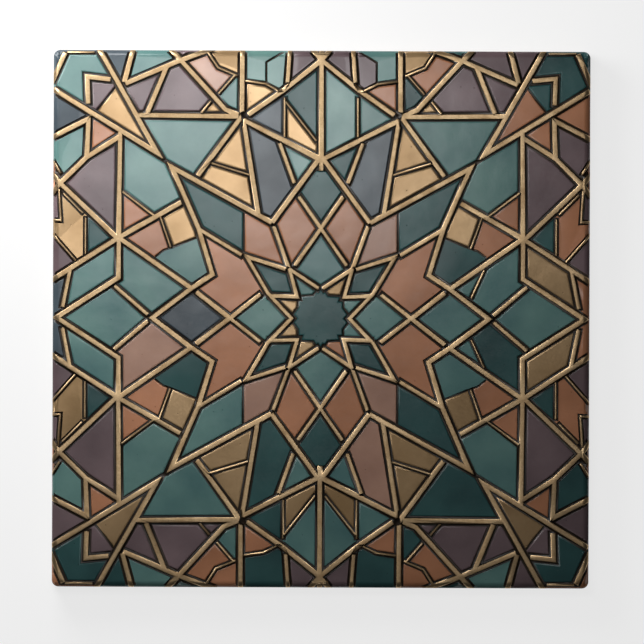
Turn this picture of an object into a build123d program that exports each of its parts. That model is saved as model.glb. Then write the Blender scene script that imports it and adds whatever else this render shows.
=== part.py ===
# Star pattern tile: one square, pressed and glazed wall tile, lying on its back with its face up.
# Millimetres. The origin is in the middle of the back, +X runs right and +Y runs up the face.
# The face carries an interlaced star pattern in low relief: flat-topped strands stand between glaze
# fields, and a narrow groove runs along both sides of every strand.
from build123d import *
from math import hypot
import os

# Body
tile_side = 108.0
tile_thickness = 6.5
corner_radius = 1.4
cushion_width = 1.3
cushion_drop = 0.6
back_edge_bevel = 0.4

# Relief, measured down from the tops of the strands
field_drop = 0.30
groove_drop = 0.60

# Strand widths, and the groove on each side of a strand
bar_width = 1.0
bar_groove = 0.48
rib_width = 0.82
rib_groove = 0.46
thread_width = 0.42
thread_groove = 0.34
seam_width = 0.42
gap_width = 0.36
tip_gap_width = 1.1

# Keyed back: square recesses with sloping sides, between flat lands
recess_count = 6
recess_land = 3.0
recess_rim = 5.0
recess_depth = 0.6
recess_draft = 20.0

# The pattern is drawn for a tile of this side, from the middle of the pattern outwards
drawn_side = 108.0
pattern_shift_x = -0.1
pattern_shift_y = 0.15
run_off = 3.0
clearance = 1.0
notch_size = 0.14
scrap_area = 0.2

pattern_scale = tile_side / drawn_side

# Knots that several strands share, in the upper right quarter of the pattern
top_hub = (16.05, 40.55)
side_hub = (40.65, 16.1)
upper_bend = (9.85, 19.2)
lower_cross = (26.0, 5.95)
star_elbow = (6.35, 9.95)
star_corner = (4.7, 4.3)
field_elbow = (14.95, 12.4)
top_gate = (0, 32.65)
top_fork = (0, 51.9)
side_fork = (52.5, 27.0)
corner_knot = (47.15, 32.25)

# Each strand is a list of points. A strand in an "off" list runs off the tile at its first point.
# A strand that passes under another one stops short of it.
bars_off = [
    [(44.75, 54), (32.85, 33.05), (54, 45.95)],
    [(54, 7.55), side_hub, (28.1, 23.25)],
    [(54, 28.7), side_fork, (41.3, 16.3)],
    [(54, 25.1), side_fork, corner_knot, (40.6, 36.4)],
    [(30.3, 54), (19.3, 41.95), top_hub],
    [(15.9, 54), (15.95, 41.25)],
    [(1.7, 54), top_fork, (7.6, 45.85), (14.7, 40.9)],
    [(23.0, 53.8), (29.1, 51.5), (39.5, 47.05)],
    [(37.9, 54), (39.7, 47.35)],
    [(54, 36.25), (46.85, 39.95), corner_knot],
    [(54, 47.8), (51.55, 53.3)],
]
bars_in = [
    [upper_bend, (30.0, 30.25), (28.0, 25.75), (24.6, 17.95), (21.75, 8.75), lower_cross, (33.85, 0)],
    [side_hub, lower_cross],
    [(25.05, 5.25), (18.25, 0)],
    [(40.45, 37.4), side_hub, (40.65, 8.05), (53.1, 0)],
    [(36.9, 40.75), top_hub],
    [(15.55, 39.8), (0, 31.85)],
    [(15.7, 40.05), (12.6, 21.0)],
    [top_hub, (24.8, 28.6)],
    [upper_bend, top_gate],
    [top_fork, top_gate],
    [(31.1, 50.65), (34.95, 41.25)],
    [(42.4, 47.9), (47.1, 48.4), (46.9, 43.0)],
]
ribs_off = [
    [(6.35, 54), (6.85, 47.35)],
]
ribs_in = [
    [(8.4, 35.3), (5.4, 27.2)],
    [(4.45, 24.5), (0, 18.1), (5.2, 10.6)],
    [(9.5, 18.5), star_elbow, (0.4, 6.0)],
    [star_elbow, star_corner, (10.3, 4.5)],
    [(7.0, 9.8), field_elbow, (10.6, 5.0), (5.85, 0)],
    [(24.3, 17.75), (15.9, 12.65)],
    [(12.1, 4.8), (18.25, 0)],
    [(41.5, 6.4), (34.75, 0.65)],
    [(50.35, 9.9), (51.9, 2.1)],
]
threads_off = [
    [(23.2, 54), (20.85, 50.4), (16.9, 48.75)],
    [(54, 16.8), (49.3, 11.45)],
    [(54, 19.6), (52.3, 19.5), (52.7, 25.8)],
    [(54, 31.6), (52.4, 29.0)],
]
threads_in = [
    [(22.2, 43.6), (24.2, 41.2)],
    [(17.3, 49.0), (20.7, 45.1)],
    [(15.3, 47.7), (11.3, 47.15), (8.6, 45.75)],
    [(7.38, 44.3), (7.38, 36.5)],
    [(47.35, 20.1), (47.35, 12.8)],
    [(40.0, 25.4), (33.6, 20.6)],
    [(22.2, 31.2), (14.5, 28.85)],
    [(32.3, 20.3), (30.2, 14.2)],
    [(51.2, 53.4), (45.7, 53.4)],
    [(47.9, 21.0), (51.9, 25.0)],
]
seams_in = [
    [(15.5, 22.3), (15.5, 12.7)],
    [(24.9, 16.2), (29.6, 14.3), (31.6, 13.6), (33.3, 12.3)],
    [(41.3, 46.6), (43.2, 44.1), (45.4, 41.4)],
    [(0.7, 5.9), (1.55, 4.65), (4.3, 4.5)],
    [(4.6, 4.1), (4.6, 2.2), (5.9, 0.5)],
]

# Cuts across the strands where one passes under another
gaps = [
    [(14.7, 41.75), (16.3, 41.05)],
    [(15.95, 40.95), (15.9, 38.6)],
]
tip_gaps = [
    [(30.6, 32.65), (32.5, 30.75)],
]

# Strands that only some quarters have, each with the signs of x and y of those quarters
odd_threads = [
    ([(1, 1), (1, -1)], [(32.9, 9.8), (30.3, 4.2)]),
    ([(-1, 1), (-1, -1), (1, -1)], [(7.2, 43.6), (1.0, 35.7)]),
]
odd_seams = [
    ([(1, 1), (-1, 1)], [(7.6, 53.6), (11.1, 51.5), (11.1, 47.5)]),
]


def lengthened(points, length):
    """The same strand with its first point moved outwards by length."""
    (x0, y0), (x1, y1) = points[0], points[1]
    span = hypot(x0 - x1, y0 - y1)
    moved = (x0 + (x0 - x1) / span * length, y0 + (y0 - y1) / span * length)
    return [moved] + points[1:]


def ended(points, runs_off, margin):
    """A strand with each end run off the tile or over a mirror axis, or else out by a margin."""
    first = run_off if runs_off or 0 in points[0] else margin
    last = run_off if 0 in points[-1] else margin
    return lengthened(lengthened(points, first)[::-1], last)


def strand(points, width):
    """One strand of a given width as a face, with mitred bends and square ends."""
    path = [(x * pattern_scale, y * pattern_scale) for x, y in points]
    normals = []
    for (x0, y0), (x1, y1) in zip(path, path[1:]):
        span = hypot(x1 - x0, y1 - y0)
        normals.append(((y0 - y1) / span, (x1 - x0) / span))
    left, right = [], []
    for (x, y), (ax, ay), (bx, by) in zip(path, normals[:1] + normals, normals + normals[-1:]):
        share = width / 2 / (1 + ax * bx + ay * by)
        left.append((x + (ax + bx) * share, y + (ay + by) * share))
        right.append((x - (ax + bx) * share, y - (ay + by) * share))
    return make_face(Polyline(*left, *reversed(right), close=True)).face()


def four_quarters(groups):
    """All strands of groups of (strands, runs off, width, margin), mirrored into four quarters."""
    faces = []
    for strands, runs_off, width, margin in groups:
        for points in strands:
            faces.append(strand(ended(points, runs_off, margin), width))
    quarter = (Sketch() + faces) & Rectangle(tile_side, tile_side, align=(Align.MIN, Align.MIN))
    half = quarter + mirror(quarter, about=Plane.YZ)
    return half + mirror(half, about=Plane.XZ)


def some_quarters(odd_strands, width, margin):
    """The strands that only some quarters have."""
    faces = []
    for signs, points in odd_strands:
        for sign_x, sign_y in signs:
            turned = [(x * sign_x, y * sign_y) for x, y in ended(points, False, margin)]
            faces.append(strand(turned, width))
    return faces


def corners(wire):
    """The corners of a wire in order, leaving out those that only close a tiny notch."""
    edges = wire.order_edges()
    points = []
    for edge, following in zip(edges, edges[1:] + edges[:1]):
        ends = following.positions([0, 1])
        corner = min(edge.positions([0, 1]), key=lambda end: min((end - other).length for other in ends))
        if not points or (corner - points[-1]).length > notch_size:
            points.append(corner)
    if (points[0] - points[-1]).length <= notch_size:
        points.pop()
    return points


def tidied(pattern):
    """The same pattern without tiny notches, scraps and pinholes."""
    faces = []
    for face in pattern.faces():
        if face.area < scrap_area:
            continue
        trimmed = make_face(Polyline(*corners(face.outer_wire()), close=True))
        holes = []
        for wire in face.inner_wires():
            if make_face(wire).area > scrap_area:
                holes.append(make_face(Polyline(*corners(wire), close=True)))
        faces.append(trimmed - holes if holes else trimmed)
    return Sketch() + faces


def raised_pattern():
    """The tops of the strands, with the cuts where one strand passes under another."""
    whole = four_quarters([
        (bars_off, True, bar_width, 0),
        (bars_in, False, bar_width, 0),
        (ribs_off, True, rib_width, 0),
        (ribs_in, False, rib_width, 0),
        (threads_off, True, thread_width, 0),
        (threads_in, False, thread_width, 0),
    ])
    whole += some_quarters(odd_threads, thread_width, 0)
    whole -= four_quarters([(gaps, False, gap_width, 0), (tip_gaps, False, tip_gap_width, 0)])
    return tidied(whole)


def sunk_pattern():
    """The grooves: a wider band under every strand, and the seams that carry no strand."""
    thread_band = thread_width + 2 * thread_groove
    whole = four_quarters([
        (bars_off, True, bar_width + 2 * bar_groove, bar_groove),
        (bars_in, False, bar_width + 2 * bar_groove, bar_groove),
        (ribs_off, True, rib_width + 2 * rib_groove, rib_groove),
        (ribs_in, False, rib_width + 2 * rib_groove, rib_groove),
        (threads_off, True, thread_band, thread_groove),
        (threads_in, False, thread_band, thread_groove),
        (seams_in, False, seam_width, 0),
    ])
    whole += some_quarters(odd_threads, thread_band, thread_groove)
    return tidied(whole + some_quarters(odd_seams, seam_width, 0))


def cushion_roll(height):
    """A bar as wide and long as the tile, flat on top and falling in an arc to both sides."""
    side = tile_side / 2
    flat = side - cushion_width
    shoulder = height - cushion_drop
    section = make_face(
        Line((-flat, height), (flat, height))
        + TangentArc((flat, height), (side, shoulder), tangent=(1, 0))
        + Polyline((side, shoulder), (side, 0), (-side, 0), (-side, shoulder))
        + TangentArc((-flat, height), (-side, shoulder), tangent=(-1, 0)))
    return extrude(Plane.XZ * section, side, both=True)


def blank(height):
    """The tile blank up to a height, with a cushion edge that mitres at its rounded corners."""
    outline = RectangleRounded(tile_side, tile_side, corner_radius)
    roll = cushion_roll(height)
    body = extrude(outline, height) & roll & (Rot(0, 0, 90) * roll)
    return chamfer(body.faces().sort_by(Axis.Z)[0].edges(), back_edge_bevel)


def back_recesses():
    """Square keying recesses between flat lands, narrower at their floor."""
    pitch = (tile_side - 2 * recess_rim + recess_land) / recess_count
    side = pitch - recess_land
    openings = GridLocations(pitch, pitch, recess_count, recess_count) * Rectangle(side, side)
    return extrude(Sketch() + openings, recess_depth, taper=recess_draft)


def star_tile():
    """The whole tile: the blank with its grooves, then the strands, then the keyed back."""
    shift = Pos(pattern_shift_x, pattern_shift_y)
    groove_floor = tile_thickness - groove_drop
    strand_foot = tile_thickness - cushion_drop - groove_drop
    grooves = extrude(shift * sunk_pattern(), groove_drop + clearance)
    strands = extrude(shift * raised_pattern(), cushion_drop + groove_drop + clearance)
    body = blank(tile_thickness - field_drop) - Pos(0, 0, groove_floor) * grooves
    tile = body + (blank(tile_thickness) & (Pos(0, 0, strand_foot) * strands))
    return tile - back_recesses()


os.makedirs("parts", exist_ok=True)
tile = star_tile()
print("solids", len(tile.solids()), "faces", len(tile.faces()))
export_step(tile.solids().sort_by(SortBy.VOLUME)[-1], "parts/star_tile.step")
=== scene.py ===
import random
from math import radians, sqrt

import bmesh
import bpy
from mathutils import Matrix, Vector


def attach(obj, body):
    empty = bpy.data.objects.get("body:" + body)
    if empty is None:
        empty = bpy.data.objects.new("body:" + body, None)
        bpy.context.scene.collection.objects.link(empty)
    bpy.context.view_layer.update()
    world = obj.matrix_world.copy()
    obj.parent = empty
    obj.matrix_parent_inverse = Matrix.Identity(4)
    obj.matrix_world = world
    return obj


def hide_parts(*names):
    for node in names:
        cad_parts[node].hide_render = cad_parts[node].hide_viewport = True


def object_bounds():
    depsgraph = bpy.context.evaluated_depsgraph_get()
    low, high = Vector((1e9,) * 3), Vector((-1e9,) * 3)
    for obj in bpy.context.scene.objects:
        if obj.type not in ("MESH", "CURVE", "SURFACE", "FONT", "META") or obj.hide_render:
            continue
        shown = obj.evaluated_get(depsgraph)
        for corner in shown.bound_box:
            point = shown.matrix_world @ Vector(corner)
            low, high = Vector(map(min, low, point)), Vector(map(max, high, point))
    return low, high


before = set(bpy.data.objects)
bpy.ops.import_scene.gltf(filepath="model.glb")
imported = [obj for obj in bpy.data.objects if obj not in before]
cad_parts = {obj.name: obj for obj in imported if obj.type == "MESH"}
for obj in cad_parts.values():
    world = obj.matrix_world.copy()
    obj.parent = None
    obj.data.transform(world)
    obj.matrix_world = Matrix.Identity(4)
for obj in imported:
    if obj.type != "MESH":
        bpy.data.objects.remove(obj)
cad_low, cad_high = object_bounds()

MM = 0.001
scene = bpy.context.scene
scene.view_settings.view_transform = "Standard"


# Viewpoint
# The photograph looks straight down on the face through a long lens, from a little beside the middle,
# and the tile is turned in it by a quarter of a degree.
FRAME_WIDTH = 129.5 * MM
FRAME_MIDDLE = (0.18 * MM, -0.56 * MM)
TURN_IN_FRAME = radians(0.23)
CAMERA_HEIGHT = 1.2
SENSOR_WIDTH = 36.0
bpy.ops.object.camera_add(
    location=(*FRAME_MIDDLE, cad_high.z + CAMERA_HEIGHT), rotation=(0, 0, TURN_IN_FRAME))
camera = bpy.context.object
camera.name = "camera_above"
camera.data.sensor_width = SENSOR_WIDTH
camera.data.lens = SENSOR_WIDTH * CAMERA_HEIGHT / FRAME_WIDTH
scene.camera = camera


# Glazed tile
# One pressed clay tile with its glaze. It is a copy of the CAD tile as one closed mesh, whose strands,
# glaze fields and back get their own finish below.
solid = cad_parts["star_tile"]
tile = bpy.data.objects.new("glazed_tile", solid.data.copy())
scene.collection.objects.link(tile)
tile.data.materials.clear()
bpy.ops.object.select_all(action="DESELECT")
tile.select_set(True)
bpy.context.view_layer.objects.active = tile
bpy.ops.object.mode_set(mode="EDIT")
bpy.ops.mesh.select_mode(type="FACE")
bpy.ops.mesh.select_all(action="SELECT")
bpy.ops.mesh.remove_doubles(threshold=0.001 * MM)
bpy.ops.mesh.select_all(action="DESELECT")

# The face rolls off in an arc this wide and deep along all four sides.
CUSHION_WIDTH = 1.3 * MM
CUSHION_DROP = 0.6 * MM
STRAND_TOP = cad_high.z
FIELD_TOP = STRAND_TOP - 0.3 * MM
GROOVE_FLOOR = STRAND_TOP - 0.6 * MM
LEVEL_SLACK = 0.03 * MM
# A face that points up by less than this is a wall.
FACES_UP = 0.3
roll_radius = (CUSHION_WIDTH ** 2 + CUSHION_DROP ** 2) / (2 * CUSHION_DROP)
flat_side = cad_high.x - CUSHION_WIDTH


def roll_off(point):
    """How far the cushion edge has dropped at a point of the face."""
    beyond = max(abs(point.x), abs(point.y)) - flat_side
    if beyond <= 0:
        return 0
    return roll_radius - sqrt(max(roll_radius ** 2 - beyond ** 2, 0))


def lies_at(face, height):
    """True for a face of the front that lies at a height, also where it rolls off."""
    if face.normal.z < FACES_UP:
        return False
    return all(abs(vert.co.z + roll_off(vert.co) - height) < LEVEL_SLACK for vert in face.verts)


def add_finish(name):
    """A new material in the tile's next slot, with its shader and node tree."""
    finish = bpy.data.materials.new(name)
    finish.use_nodes = True
    tile.data.materials.append(finish)
    return finish, finish.node_tree.nodes["Principled BSDF"], finish.node_tree


def paint(red, green, blue):
    """A colour given as it looks on a screen, from 0 to 255, as the linear values of a shader."""
    def linear(value):
        value /= 255
        return value / 12.92 if value < 0.04045 else ((value + 0.055) / 1.055) ** 2.4
    return (linear(red), linear(green), linear(blue), 1.0)


def node(tree, kind, inputs=None, **settings):
    """A shader node of a kind, with its settings and the values of its inputs."""
    made = tree.nodes.new("ShaderNode" + kind)
    for name, value in settings.items():
        setattr(made, name, value)
    for name, value in (inputs or {}).items():
        made.inputs[name].default_value = value
    return made


def blend_of(tree, factor, first, second, blend_type="MIX"):
    """A colour mixed from two others. Each input is a socket or a value."""
    mixed = node(tree, "Mix", data_type="RGBA", blend_type=blend_type)
    for place, value in ((0, factor), (6, first), (7, second)):
        if hasattr(value, "is_linked"):
            tree.links.new(value, mixed.inputs[place])
        else:
            mixed.inputs[place].default_value = value
    return mixed.outputs[2]


def sum_of(tree, operation, first, second):
    """The result of a sum on two numbers. Each input is a socket or a value."""
    worked = node(tree, "Math", operation=operation)
    for place, value in enumerate((first, second)):
        if hasattr(value, "is_linked"):
            tree.links.new(value, worked.inputs[place])
        else:
            worked.inputs[place].default_value = value
    return worked.outputs[0]


def spread(tree, value, low, high, out_low=0.0, out_high=1.0):
    """A value stretched from one span to another and kept within it."""
    stretched = node(tree, "MapRange", {
        "From Min": low, "From Max": high, "To Min": out_low, "To Max": out_high})
    tree.links.new(value, stretched.inputs["Value"])
    return stretched.outputs["Result"]


def cloud(tree, place, size, detail, roughness=0.5):
    """Soft noise whose patches are about a size across."""
    made = node(tree, "TexNoise", {"Scale": 1 / size, "Detail": detail, "Roughness": roughness})
    tree.links.new(place, made.inputs["Vector"])
    return made.outputs["Factor" if "Factor" in made.outputs else "Fac"]


# Kiln marks, in every glaze and in the clay: pinholes and dark specks, and a fine grain
kiln_marks = bpy.data.node_groups.new("kiln_marks", "ShaderNodeTree")
kiln_marks.interface.new_socket("Place", in_out="INPUT", socket_type="NodeSocketVector")
kiln_marks.interface.new_socket("Share", in_out="INPUT", socket_type="NodeSocketFloat")
kiln_marks.interface.new_socket("Specks", in_out="OUTPUT", socket_type="NodeSocketFloat")
kiln_marks.interface.new_socket("Grain", in_out="OUTPUT", socket_type="NodeSocketFloat")
marks_in = kiln_marks.nodes.new("NodeGroupInput")
marks_out = kiln_marks.nodes.new("NodeGroupOutput")
cells = node(kiln_marks, "TexVoronoi", {"Scale": 1 / (0.9 * MM), "Randomness": 1.0})
kiln_marks.links.new(marks_in.outputs["Place"], cells.inputs["Vector"])
draw = node(kiln_marks, "SeparateColor")
kiln_marks.links.new(cells.outputs["Color"], draw.inputs[0])
chosen = sum_of(kiln_marks, "LESS_THAN", draw.outputs[0], marks_in.outputs["Share"])
dot = spread(kiln_marks, cells.outputs["Distance"], 0.08, 0.16, 1.0, 0.0)
kiln_marks.links.new(sum_of(kiln_marks, "MULTIPLY", chosen, dot), marks_out.inputs["Specks"])
kiln_marks.links.new(
    cloud(kiln_marks, marks_in.outputs["Place"], 0.35 * MM, 3.0, 0.6), marks_out.inputs["Grain"])

# Depth of a glaze: it gathers darker in soft clouds, each field has its own tone with painted shade
# that darkens it towards the lower right, and the surface of the pool is slightly wavy.
glaze_depth = bpy.data.node_groups.new("glaze_depth", "ShaderNodeTree")
glaze_depth.interface.new_socket("Place", in_out="INPUT", socket_type="NodeSocketVector")
glaze_depth.interface.new_socket("Thin", in_out="INPUT", socket_type="NodeSocketColor")
glaze_depth.interface.new_socket("Thick", in_out="INPUT", socket_type="NodeSocketColor")
glaze_depth.interface.new_socket("Color", in_out="OUTPUT", socket_type="NodeSocketColor")
glaze_depth.interface.new_socket("Waves", in_out="OUTPUT", socket_type="NodeSocketFloat")
depth_in = glaze_depth.nodes.new("NodeGroupInput")
depth_out = glaze_depth.nodes.new("NodeGroupOutput")
gathered = spread(
    glaze_depth, cloud(glaze_depth, depth_in.outputs["Place"], 11 * MM, 1.5, 0.5), 0.3, 0.7)
pooled = blend_of(glaze_depth, gathered, depth_in.outputs["Thin"], depth_in.outputs["Thick"])
# Each field's own tone, times painted shade towards the lower right.
tone_and_shade = node(glaze_depth, "Attribute", attribute_name="tone_and_shade")
streaks = spread(
    glaze_depth, cloud(glaze_depth, depth_in.outputs["Place"], 1.6 * MM, 3.0, 0.65),
    0.3, 0.7, 0.97, 1.03)
tone_shade_and_streaks = sum_of(glaze_depth, "MULTIPLY", tone_and_shade.outputs["Fac"], streaks)
greys = node(glaze_depth, "CombineColor")
for channel in range(3):
    glaze_depth.links.new(tone_shade_and_streaks, greys.inputs[channel])
glaze_depth.links.new(
    blend_of(glaze_depth, 1.0, pooled, greys.outputs[0], "MULTIPLY"), depth_out.inputs["Color"])
waves = sum_of(
    glaze_depth, "ADD", cloud(glaze_depth, depth_in.outputs["Place"], 6 * MM, 1.0),
    sum_of(glaze_depth, "MULTIPLY", cloud(glaze_depth, depth_in.outputs["Place"], 1.7 * MM, 1.0), 0.14))
glaze_depth.links.new(waves, depth_out.inputs["Waves"])


def use_marks(tree, share):
    """Kiln marks in a finish, read at the point's place on the tile."""
    place = node(tree, "TexCoord").outputs["Object"]
    marks = node(tree, "Group", node_tree=kiln_marks)
    marks.inputs["Share"].default_value = share
    tree.links.new(place, marks.inputs["Place"])
    return place, marks


def lay_glaze(tree, shader, thin, thick, share, roughness, wave_height):
    """A glaze with its clouds, specks and waves, connected to a finish's shader."""
    place, marks = use_marks(tree, share)
    depth = node(tree, "Group", node_tree=glaze_depth)
    depth.inputs["Thin"].default_value = thin
    depth.inputs["Thick"].default_value = thick
    tree.links.new(place, depth.inputs["Place"])
    dark = tuple(0.35 * value for value in thick[:3]) + (1.0,)
    half = sum_of(tree, "MULTIPLY", marks.outputs["Specks"], 0.6)
    tree.links.new(blend_of(tree, half, depth.outputs["Color"], dark), shader.inputs["Base Color"])
    tree.links.new(
        spread(tree, marks.outputs["Grain"], 0.3, 0.7, roughness * 0.85, roughness * 1.2),
        shader.inputs["Roughness"])
    pitted = sum_of(tree, "MULTIPLY", marks.outputs["Specks"], -0.5)
    bump = node(tree, "Bump", {"Strength": 1.0, "Distance": wave_height})
    tree.links.new(sum_of(tree, "ADD", depth.outputs["Waves"], pitted), bump.inputs["Height"])
    tree.links.new(bump.outputs["Normal"], shader.inputs["Normal"])


# Fired clay
# The sides and the keyed back are bare cream-coloured clay, pressed dry and fired.
clay, clay_shader, clay_tree = add_finish("bare_clay")
BISQUE = paint(214, 202, 182)
BISQUE_DARK = paint(178, 156, 128)
clay_place, clay_marks = use_marks(clay_tree, 0.5)
fired = spread(clay_tree, cloud(clay_tree, clay_place, 14 * MM, 4.0, 0.6), 0.35, 0.7)
body_colour = blend_of(clay_tree, fired, BISQUE, BISQUE_DARK)
body_colour = blend_of(
    clay_tree, sum_of(clay_tree, "MULTIPLY", clay_marks.outputs["Specks"], 0.5), body_colour,
    paint(92, 70, 52))
# The glaze of the face runs a little way down the sides, in an uneven line.
OVERRUN = 1.5 * MM
height_of = node(clay_tree, "SeparateXYZ")
clay_tree.links.new(clay_place, height_of.inputs[0])
line_height = spread(
    clay_tree, cloud(clay_tree, clay_place, 5 * MM, 3.0), 0.3, 0.7,
    STRAND_TOP - CUSHION_DROP - 1.4 * OVERRUN, STRAND_TOP - CUSHION_DROP - 0.6 * OVERRUN)
over = spread(
    clay_tree, sum_of(clay_tree, "SUBTRACT", height_of.outputs["Z"], line_height),
    -0.12 * MM, 0.12 * MM)
clay_tree.links.new(
    blend_of(clay_tree, over, body_colour, paint(70, 76, 72)), clay_shader.inputs["Base Color"])
clay_tree.links.new(spread(clay_tree, over, 0.0, 1.0, 0.85, 0.25), clay_shader.inputs["Roughness"])
pressed = node(clay_tree, "Bump", {"Strength": 0.6, "Distance": 0.08 * MM})
clay_tree.links.new(clay_marks.outputs["Grain"], pressed.inputs["Height"])
clay_tree.links.new(pressed.outputs["Normal"], clay_shader.inputs["Normal"])

# Groove glaze
# The grooves beside the strands hold a thin brown-black glaze.
groove, groove_shader, groove_tree = add_finish("groove_glaze")
lay_glaze(
    groove_tree, groove_shader, paint(56, 45, 34), paint(34, 27, 21), share=0.1, roughness=0.4,
    wave_height=0.03 * MM)

# Gold strands
# The raised strands carry a satin gold lustre, and their edges are rounded by the glaze.
strand, strand_shader, strand_tree = add_finish("gold_lustre")
LUSTRE = paint(218, 188, 146)
LUSTRE_WORN = paint(170, 139, 100)
lustre_place, lustre_marks = use_marks(strand_tree, 0.12)
rubbed = spread(strand_tree, cloud(strand_tree, lustre_place, 3.5 * MM, 4.0, 0.62), 0.4, 0.72)
lustre_colour = blend_of(strand_tree, rubbed, LUSTRE, LUSTRE_WORN)
lustre_colour = blend_of(
    strand_tree, spread(strand_tree, lustre_marks.outputs["Grain"], 0.35, 0.75, 0.0, 0.35),
    lustre_colour, paint(150, 120, 84))
lustre_colour = blend_of(
    strand_tree, sum_of(strand_tree, "MULTIPLY", lustre_marks.outputs["Specks"], 0.7), lustre_colour,
    paint(84, 66, 48))
strand_tree.links.new(lustre_colour, strand_shader.inputs["Base Color"])
for quality, polished, worn in (("Roughness", 0.3, 0.44), ("Metallic", 0.92, 0.78)):
    strand_tree.links.new(
        spread(strand_tree, rubbed, 0.0, 1.0, polished, worn), strand_shader.inputs[quality])
brushed = node(strand_tree, "Bump", {"Strength": 0.7, "Distance": 0.02 * MM})
strand_tree.links.new(lustre_marks.outputs["Grain"], brushed.inputs["Height"])
strand_tree.links.new(brushed.outputs["Normal"], strand_shader.inputs["Normal"])

# Glaze fields
# Each field between the strands holds its own pool of coloured glaze, thick in the middle and drawn
# down to a rounded rim.
GLAZES = {
    "teal": (paint(97, 132, 126), paint(72, 108, 107)),
    "deep_teal": (paint(51, 88, 87), paint(37, 66, 67)),
    "terracotta": (paint(182, 126, 93), paint(156, 106, 76)),
    "gold": (paint(194, 162, 121), paint(162, 131, 92)),
    "plum": (paint(116, 98, 101), paint(92, 77, 80)),
    "blush": (paint(180, 142, 122), paint(152, 116, 99)),
    "slate": (paint(80, 91, 98), paint(61, 70, 77)),
}
finish_index = {}
for name, (thin, thick) in GLAZES.items():
    glaze, glaze_shader, glaze_tree = add_finish("glaze_" + name)
    lay_glaze(
        glaze_tree, glaze_shader, thin, thick, share=0.05, roughness=0.2, wave_height=0.05 * MM)
    glaze_shader.inputs["Metallic"].default_value = 0.5 if name == "gold" else 0.0
    glaze_shader.inputs["Coat Weight"].default_value = 0.2
    glaze_shader.inputs["Coat Roughness"].default_value = 0.08
    finish_index[name] = len(tile.data.materials) - 1

# Glaze of each field: a place in it, then the glaze in the upper left, upper right, lower left and
# lower right quarter. Places are in millimetres from the middle, read off the photograph.
FIELD_GLAZES = [
    ((0, 0), "deep_teal", "deep_teal", "deep_teal", "deep_teal"),
    ((3, 6), "teal", "gold", "gold", "terracotta"),
    ((6.2, 2.7), "gold", "teal", "gold", "teal"),
    ((0, 12), "teal", "teal", "teal", "teal"),
    ((12, 0), "teal", "teal", "teal", "teal"),
    ((10, 8), "deep_teal", "deep_teal", "deep_teal", "deep_teal"),
    ((12, 16.5), "terracotta", "blush", "blush", "blush"),
    ((5.5, 17.5), "terracotta", "terracotta", "terracotta", "terracotta"),
    ((18, 8), "terracotta", "terracotta", "terracotta", "terracotta"),
    ((20, 20), "deep_teal", "deep_teal", "teal", "deep_teal"),
    ((0, 25), "deep_teal", "deep_teal", "deep_teal", "deep_teal"),
    ((5, 31.5), "teal", "deep_teal", "teal", "teal"),
    ((11, 30), "slate", "slate", "deep_teal", "blush"),
    ((17.5, 35), "gold", "gold", "gold", "gold"),
    ((18, 27), "gold", "gold", "gold", "gold"),
    ((26, 36), "teal", "teal", "teal", "deep_teal"),
    ((41, 42), "gold", "terracotta", "gold", "gold"),
    ((44.5, 45), "plum", "deep_teal", "plum", "plum"),
    ((36, 29), "teal", "teal", "teal", "teal"),
    ((38, 22), "terracotta", "terracotta", "terracotta", "terracotta"),
    ((45, 27), "plum", "plum", "plum", "plum"),
    ((45, 36.5), "terracotta", "terracotta", "terracotta", "terracotta"),
    ((50.5, 34), "teal", "plum", "teal", "deep_teal"),
    ((51.5, 42), "slate", "terracotta", "plum", "plum"),
    ((53.8, 46.9), "teal", "deep_teal", "deep_teal", "deep_teal"),
    ((49, 50), "teal", "deep_teal", "deep_teal", "deep_teal"),
    ((53, 53), "slate", "deep_teal", "terracotta", "terracotta"),
    ((41, 51), "slate", "plum", "deep_teal", "plum"),
    ((34.5, 51.5), "teal", "plum", "teal", "teal"),
    ((36.5, 45), "plum", "plum", "plum", "plum"),
    ((28, 45.5), "plum", "plum", "plum", "plum"),
    ((21.5, 41.9), "gold", "gold", "plum", "plum"),
    ((22.5, 50), "blush", "terracotta", "terracotta", "terracotta"),
    ((18, 44.5), "teal", "deep_teal", "teal", "deep_teal"),
    ((18.5, 52.5), "gold", "gold", "terracotta", "terracotta"),
    ((26.5, 53.5), "plum", "teal", "deep_teal", "deep_teal"),
    ((13, 50.5), "teal", "teal", "deep_teal", "deep_teal"),
    ((9.3, 49.7), "teal", "plum", "deep_teal", "deep_teal"),
    ((12.5, 45), "gold", "terracotta", "terracotta", "terracotta"),
    ((3.5, 52), "plum", "plum", "plum", "plum"),
    ((11, 40.5), "slate", "teal", "deep_teal", "teal"),
    ((5.5, 38.5), "gold", "teal", "gold", "gold"),
    ((3.5, 42), "deep_teal", "teal", "teal", "teal"),
    ((43, 0), "teal", "teal", "teal", "teal"),
    ((34.5, 8.5), "teal", "teal", "blush", "deep_teal"),
    ((30, 7), "teal", "teal", "blush", "teal"),
    ((26, 0), "slate", "teal", "slate", "teal"),
    ((29.9, 13.2), "teal", "deep_teal", "deep_teal", "teal"),
    ((28.5, 18.5), "gold", "gold", "gold", "gold"),
    ((33.6, 16), "terracotta", "terracotta", "terracotta", "terracotta"),
    ((45, 17), "deep_teal", "deep_teal", "deep_teal", "deep_teal"),
    ((50, 18), "gold", "terracotta", "gold", "terracotta"),
    ((53.2, 23), "plum", "plum", "plum", "plum"),
    ((52.5, 13), "plum", "plum", "plum", "plum"),
    ((46, 9), "teal", "gold", "teal", "gold"),
    ((52.8, 5), "slate", "terracotta", "slate", "terracotta"),
    ((53.2, 29.5), "terracotta", "terracotta", "terracotta", "terracotta"),
]

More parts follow.
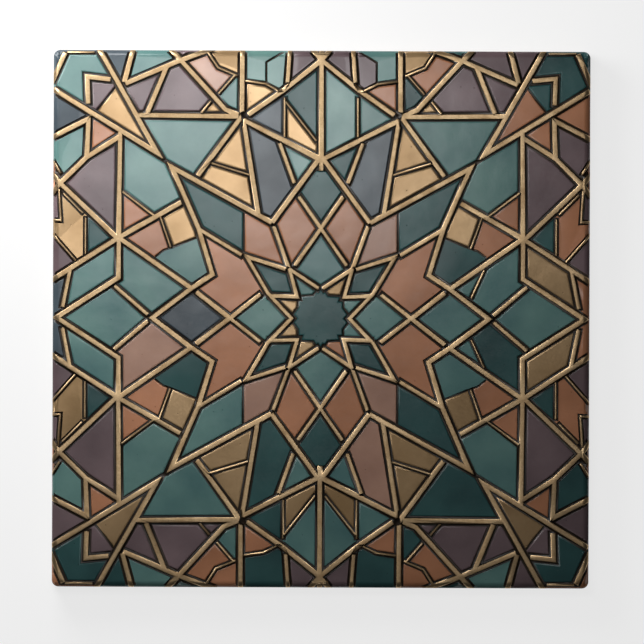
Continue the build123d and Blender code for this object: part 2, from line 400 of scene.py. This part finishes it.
# Faces of the front sorted by what they are. Every glaze of a field comes after the first three
# finishes.
CLAY, GROOVE, STRAND, FIELD = 0, 1, 2, 3
mesh = bmesh.from_edit_mesh(tile.data)
mesh.faces.layers.int.new("turn")
# Each face's own tone, times painted shade towards the lower right, set for the pools below.
mesh.faces.layers.float.new("tone_and_shade")
mesh.normal_update()
FRONT_LOW = 5.0 * MM
for face in mesh.faces:
    if lies_at(face, STRAND_TOP):
        face.material_index = STRAND
    elif lies_at(face, FIELD_TOP):
        face.material_index = FIELD
    elif min(vert.co.z for vert in face.verts) > FRONT_LOW:
        face.material_index = GROOVE
    else:
        face.material_index = CLAY

# The cushion edge is laid flat while the relief is shaped, and each field becomes one face.
for vert in mesh.verts:
    if vert.co.z > FRONT_LOW:
        vert.co.z += roll_off(vert.co)
        for height in (STRAND_TOP, FIELD_TOP, GROOVE_FLOOR):
            if abs(vert.co.z - height) < LEVEL_SLACK:
                vert.co.z = height
mesh.normal_update()
for face in mesh.faces:
    on_field = any(abs(vert.co.z - FIELD_TOP) < LEVEL_SLACK for vert in face.verts)
    wall = face.material_index == GROOVE and abs(face.normal.z) < 0.1 and on_field
    face.select_set(face.material_index == FIELD or wall)
bmesh.update_edit_mesh(tile.data)
bpy.ops.mesh.dissolve_limited(angle_limit=radians(0.4), delimit={"MATERIAL"})

# Two seams end just short of the next groove, so the glaze is parted there along the seam's line.
# Each parting has its place, its direction, its reach in millimetres and its quarters.
PATTERN_MIDDLE = Vector((-0.1, 0.15))
QUARTERS = ((-1, 1), (1, 1), (-1, -1), (1, -1))
PARTINGS = [
    ((33.3, 12.3), (1.7, -1.3), 1.0, QUARTERS),
    ((7.6, 53.6), (3.5, -2.1), 1.5, QUARTERS[:2]),
]
SEAM_END = 0.4 * MM
CUT_SLACK = 1e-7
mesh = bmesh.from_edit_mesh(tile.data)
for place, line, reach, quarters in PARTINGS:
    for sign_x, sign_y in quarters:
        end = (Vector((place[0] * sign_x, place[1] * sign_y)) + PATTERN_MIDDLE) * MM
        across = Vector((line[1] * sign_x, -line[0] * sign_y, 0)).normalized()
        near = [
            face for face in mesh.faces if face.material_index == FIELD
            and any((vert.co.xy - end).length < SEAM_END for vert in face.verts)]
        parted = bmesh.ops.bisect_plane(
            mesh, geom=near + list(dict.fromkeys(edge for face in near for edge in face.edges))
            + list(dict.fromkeys(vert for face in near for vert in face.verts)),
            plane_co=end.to_3d(), plane_no=across, dist=CUT_SLACK)
        for piece in parted["geom_cut"]:
            if isinstance(piece, bmesh.types.BMEdge):
                middle = (piece.verts[0].co.xy + piece.verts[1].co.xy) / 2
                piece.seam = (middle - end).length < reach * MM

# Glaze of each field
spots = []
for place, *names in FIELD_GLAZES:
    for (sign_x, sign_y), name in zip(QUARTERS, names):
        spot = Vector((place[0] * sign_x, place[1] * sign_y)) + PATTERN_MIDDLE
        spots.append((spot * MM, finish_index[name]))


def islands(faces):
    """The faces in groups that join edge to edge, but not over a parting."""
    waiting = dict.fromkeys(faces)
    groups = []
    while waiting:
        group = [waiting.popitem()[0]]
        for face in group:
            for edge in face.edges:
                for other in edge.link_faces:
                    if other in waiting and not edge.seam:
                        del waiting[other]
                        group.append(other)
        groups.append(group)
    return groups


def inside(point, face):
    """True where a point lies within a face's outline, seen from above."""
    crossings = 0
    for loop in face.loops:
        start, end = loop.vert.co, loop.link_loop_next.vert.co
        if (start.y > point.y) != (end.y > point.y):
            share = (point.y - start.y) / (end.y - start.y)
            crossings += point.x < start.x + share * (end.x - start.x)
    return crossings % 2 == 1


def glaze_of(group):
    """The glaze of the spot that lies in a group of faces, or else of the nearest spot."""
    for face in group:
        for spot, index in spots:
            if inside(spot, face):
                return index
    centre = group[0].calc_center_median().xy
    return min(spots, key=lambda spot: (spot[0] - centre).length)[1]


# Each pool is a little lighter or darker than the next, and painted shade makes the pools darker
# towards the lower right, where the light falls off, by this share for each metre.
TONE_LOW, TONE_HIGH = 0.93, 1.07
PAINTED_SHADE_FALL = 1.2
chance = random.Random(7)
tone_and_shade_layer = mesh.faces.layers.float["tone_and_shade"]
for face in mesh.faces:
    face[tone_and_shade_layer] = 1.0
pools = islands(face for face in mesh.faces if face.material_index == FIELD)
pools.sort(key=lambda pool: min(
    (round(vert.co.y, 5), round(vert.co.x, 5)) for face in pool for vert in face.verts))
for pool in pools:
    index = glaze_of(pool)
    middle = pool[0].calc_center_median()
    # A pool's colour is scaled by its own random tone and by painted shade towards the lower right.
    pool_tone_and_shade = chance.uniform(TONE_LOW, TONE_HIGH) * (1.0 - PAINTED_SHADE_FALL * (middle.x - middle.y))
    for face in pool:
        face.material_index = index
        face[tone_and_shade_layer] = pool_tone_and_shade

# Each pool gets the widest rim that fits its shape, and a pool that borders on another gets its rim
# in a later turn.
FIELD_RINGS = [(0.07, 0.07), (0.09, 0.04), (0.12, 0.015), (0.02, 0.0)]
RIM_SIZES = (1.0, 0.8, 0.6, 0.4, 0.25, 0.12)
MERGE = 0.05 * MM
NO_AREA = 1e-12
# A sharp tip may run in this many times as far as its two sides.
LONGEST_MITRE = 4.5


def rim_fits(pool, size):
    """True where the rings of a size leave every part of a copy of the pool facing up."""
    trial = bmesh.new()
    copies = {}
    tops = []
    for face in pool:
        for vert in face.verts:
            if vert not in copies:
                copies[vert] = trial.verts.new(vert.co)
        tops.append(trial.faces.new([copies[vert] for vert in face.verts]))
    trial.normal_update()
    level = FIELD_TOP
    for width, rise in FIELD_RINGS:
        level += rise * size * MM
        bmesh.ops.inset_region(
            trial, faces=tops, thickness=width * size * MM, depth=rise * size * MM, use_boundary=True,
            use_even_offset=True)
        inner = dict.fromkeys(vert for face in tops for vert in face.verts)
        longest = LONGEST_MITRE * sqrt(width ** 2 + rise ** 2) * size * MM
        for vert in inner:
            spokes = [edge for edge in vert.link_edges if edge.other_vert(vert) not in inner]
            if spokes:
                reach = vert.co - spokes[0].other_vert(vert).co
                if reach.length > longest:
                    vert.co -= reach * (1 - longest / reach.length)
                vert.co.z = level
        bmesh.ops.remove_doubles(trial, verts=list(inner), dist=MERGE)
        tops = [face for face in tops if face.is_valid]
        if not tops:
            break
    bmesh.ops.triangulate(trial, faces=trial.faces[:])
    trial.normal_update()
    fitting = bool(tops) and all(
        face.normal.z > FACES_UP or face.calc_area() < NO_AREA for face in trial.faces)
    trial.free()
    return fitting


turns = {}
shared = set()
for pool in pools:
    size = next((step for step in RIM_SIZES if rim_fits(pool, step)), 0)
    partings = {
        edge for face in pool for edge in face.edges
        if edge.seam and any(other not in pool for other in edge.link_faces)}
    late = bool(partings & shared)
    shared |= partings
    if size:
        turns.setdefault((size, late), []).extend(pool)
marks = mesh.faces.layers.int["turn"]
for number, faces in enumerate(turns.values(), start=1):
    for face in faces:
        face[marks] = number

# Strand edges, rounded by the lustre's glaze
STRAND_ROUNDING = 0.13 * MM
SIDE_MARGIN = 0.05 * MM
bpy.ops.mesh.select_mode(type="EDGE")
mesh = bmesh.from_edit_mesh(tile.data)
for edge in mesh.edges:
    sides = [face.material_index == STRAND for face in edge.link_faces]
    middle = (edge.verts[0].co + edge.verts[1].co) / 2
    inner = max(abs(middle.x), abs(middle.y)) < cad_high.x - SIDE_MARGIN
    edge.select_set(len(sides) == 2 and sides[0] != sides[1] and inner)
bmesh.update_edit_mesh(tile.data)
bpy.ops.mesh.bevel(
    offset=STRAND_ROUNDING, offset_type="OFFSET", segments=2, profile=0.5, clamp_overlap=False,
    loop_slide=False, material=STRAND, miter_outer="SHARP", miter_inner="SHARP")
bpy.ops.mesh.select_mode(type="FACE")

# Field pools
def step_up(rings):
    """Lowers the selected tops and insets them up to their height again, ring by ring."""
    level = FIELD_TOP - sum(ring[1] for ring in rings) * MM
    shaped = bmesh.from_edit_mesh(tile.data)
    for vert in shaped.verts:
        if vert.select:
            vert.co.z = min(vert.co.z, level)
    bmesh.update_edit_mesh(tile.data)
    for width, rise in rings:
        level += rise * MM
        bpy.ops.mesh.inset(
            thickness=width * MM, depth=rise * MM, use_boundary=True, use_even_offset=True)
        shaped = bmesh.from_edit_mesh(tile.data)
        longest = LONGEST_MITRE * sqrt(width ** 2 + rise ** 2) * MM
        for vert in shaped.verts:
            spokes = [edge for edge in vert.link_edges if not edge.other_vert(vert).select]
            if not vert.select or not spokes:
                continue
            reach = vert.co - spokes[0].other_vert(vert).co
            if reach.length > longest:
                vert.co -= reach * (1 - longest / reach.length)
            vert.co.z = level
        bmesh.update_edit_mesh(tile.data)
        bpy.ops.mesh.remove_doubles(threshold=MERGE)


for number, (size, _) in enumerate(turns, start=1):
    mesh = bmesh.from_edit_mesh(tile.data)
    marks = mesh.faces.layers.int["turn"]
    for face in mesh.faces:
        face.select_set(False)
    for face in mesh.faces:
        if face[marks] == number:
            face.select_set(True)
    bmesh.update_edit_mesh(tile.data)
    step_up([(width * size, rise * size) for width, rise in FIELD_RINGS])

# The face is cut along lines near its sides and rolled off over the cushion edge.
ROLL_LINES = [0.0, 0.3, 0.6, 0.85, 1.05, 1.2]
for beyond in ROLL_LINES:
    for across in (Vector((1, 0, 0)), Vector((-1, 0, 0)), Vector((0, 1, 0)), Vector((0, -1, 0))):
        mesh = bmesh.from_edit_mesh(tile.data)
        for face in mesh.faces:
            wall = face.material_index == GROOVE and abs(face.normal.z) < FACES_UP
            face.select_set(face.material_index >= FIELD or wall)
        bmesh.update_edit_mesh(tile.data)
        bpy.ops.mesh.bisect(
            plane_co=across * (flat_side + beyond * MM), plane_no=across, threshold=CUT_SLACK)
bpy.ops.mesh.select_all(action="DESELECT")
mesh = bmesh.from_edit_mesh(tile.data)
for vert in mesh.verts:
    if vert.co.z > FRONT_LOW:
        vert.co.x = max(cad_low.x, min(vert.co.x, cad_high.x))
        vert.co.y = max(cad_low.y, min(vert.co.y, cad_high.y))
        vert.co.z -= roll_off(vert.co)
mesh.normal_update()
bmesh.update_edit_mesh(tile.data)
bpy.ops.object.mode_set(mode="OBJECT")

# Smooth glaze, without the marks that the shaping needed
tile.data.attributes.remove(tile.data.attributes["turn"])
for edge in tile.data.edges:
    edge.use_seam = False
bpy.ops.object.select_all(action="DESELECT")
tile.select_set(True)
bpy.ops.object.shade_smooth_by_angle(angle=radians(40))
bpy.ops.object.modifier_add(type="WEIGHTED_NORMAL")
tile.modifiers[0].mode = "FACE_AREA"
tile.modifiers[0].weight = 90
tile.modifiers[0].keep_sharp = True
bpy.ops.object.modifier_apply(modifier=tile.modifiers[0].name)
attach(tile, "root")
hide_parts("star_tile")


# Stage
# A plain white floor, a hair under the tile, which glows enough to look white and keeps a soft shadow.
FLOOR_GLOW = 0.75
bpy.ops.mesh.primitive_plane_add(size=6.0, location=(0, 0, -0.01 * MM))
floor = bpy.context.object
floor.name = "floor"
floor_paint = bpy.data.materials.new("floor_paint")
floor_paint.use_nodes = True
tree = floor_paint.node_tree
shader = tree.nodes["Principled BSDF"]
shader.inputs["Base Color"].default_value = (0.9, 0.9, 0.9, 1)
shader.inputs["Roughness"].default_value = 0.9
glow = tree.nodes.new("ShaderNodeEmission")
rays = tree.nodes.new("ShaderNodeLightPath")
mix = tree.nodes.new("ShaderNodeMixShader")
seen = rays.outputs["Is Camera Ray"]
for other in ("Is Glossy Ray", "Is Transmission Ray"):
    either = tree.nodes.new("ShaderNodeMath")
    either.operation = "MAXIMUM"
    tree.links.new(seen, either.inputs[0])
    tree.links.new(rays.outputs[other], either.inputs[1])
    seen = either.outputs[0]
share = tree.nodes.new("ShaderNodeMath")
share.operation = "MULTIPLY"
share.inputs[1].default_value = FLOOR_GLOW
tree.links.new(seen, share.inputs[0])
tree.links.new(share.outputs[0], mix.inputs[0])
tree.links.new(shader.outputs[0], mix.inputs[1])
tree.links.new(glow.outputs[0], mix.inputs[2])
tree.links.new(mix.outputs[0], tree.nodes["Material Output"].inputs["Surface"])
floor.data.materials.append(floor_paint)

# Soft low light from the upper left, a wide card higher up for the sheen, a small one for the glints,
# and a dim grey surround.
bpy.ops.object.light_add(type="AREA", location=(-0.088, 0.1, 0.08))
key = bpy.context.object
key.name = "key_light"
key.data.size = 0.1
key.data.energy = 0.245
key.rotation_euler = (-key.location).to_track_quat("-Z", "Y").to_euler()
bpy.ops.object.light_add(type="AREA", location=(-0.08, 0.1, 0.36))
card = bpy.context.object
card.name = "sheen_card"
card.data.size = 0.2
card.data.energy = 0.05
bpy.ops.object.light_add(type="AREA", location=(-0.0276, 0.054, 0.36))
glint = bpy.context.object
glint.name = "glint_card"
glint.data.shape = "RECTANGLE"
glint.data.size = 0.09
glint.data.size_y = 0.05
glint.data.energy = 0.17
world = bpy.data.worlds.new("surround")
scene.world = world
world.use_nodes = True
world.node_tree.nodes["Background"].inputs[0].default_value = (0.02, 0.02, 0.02, 1)
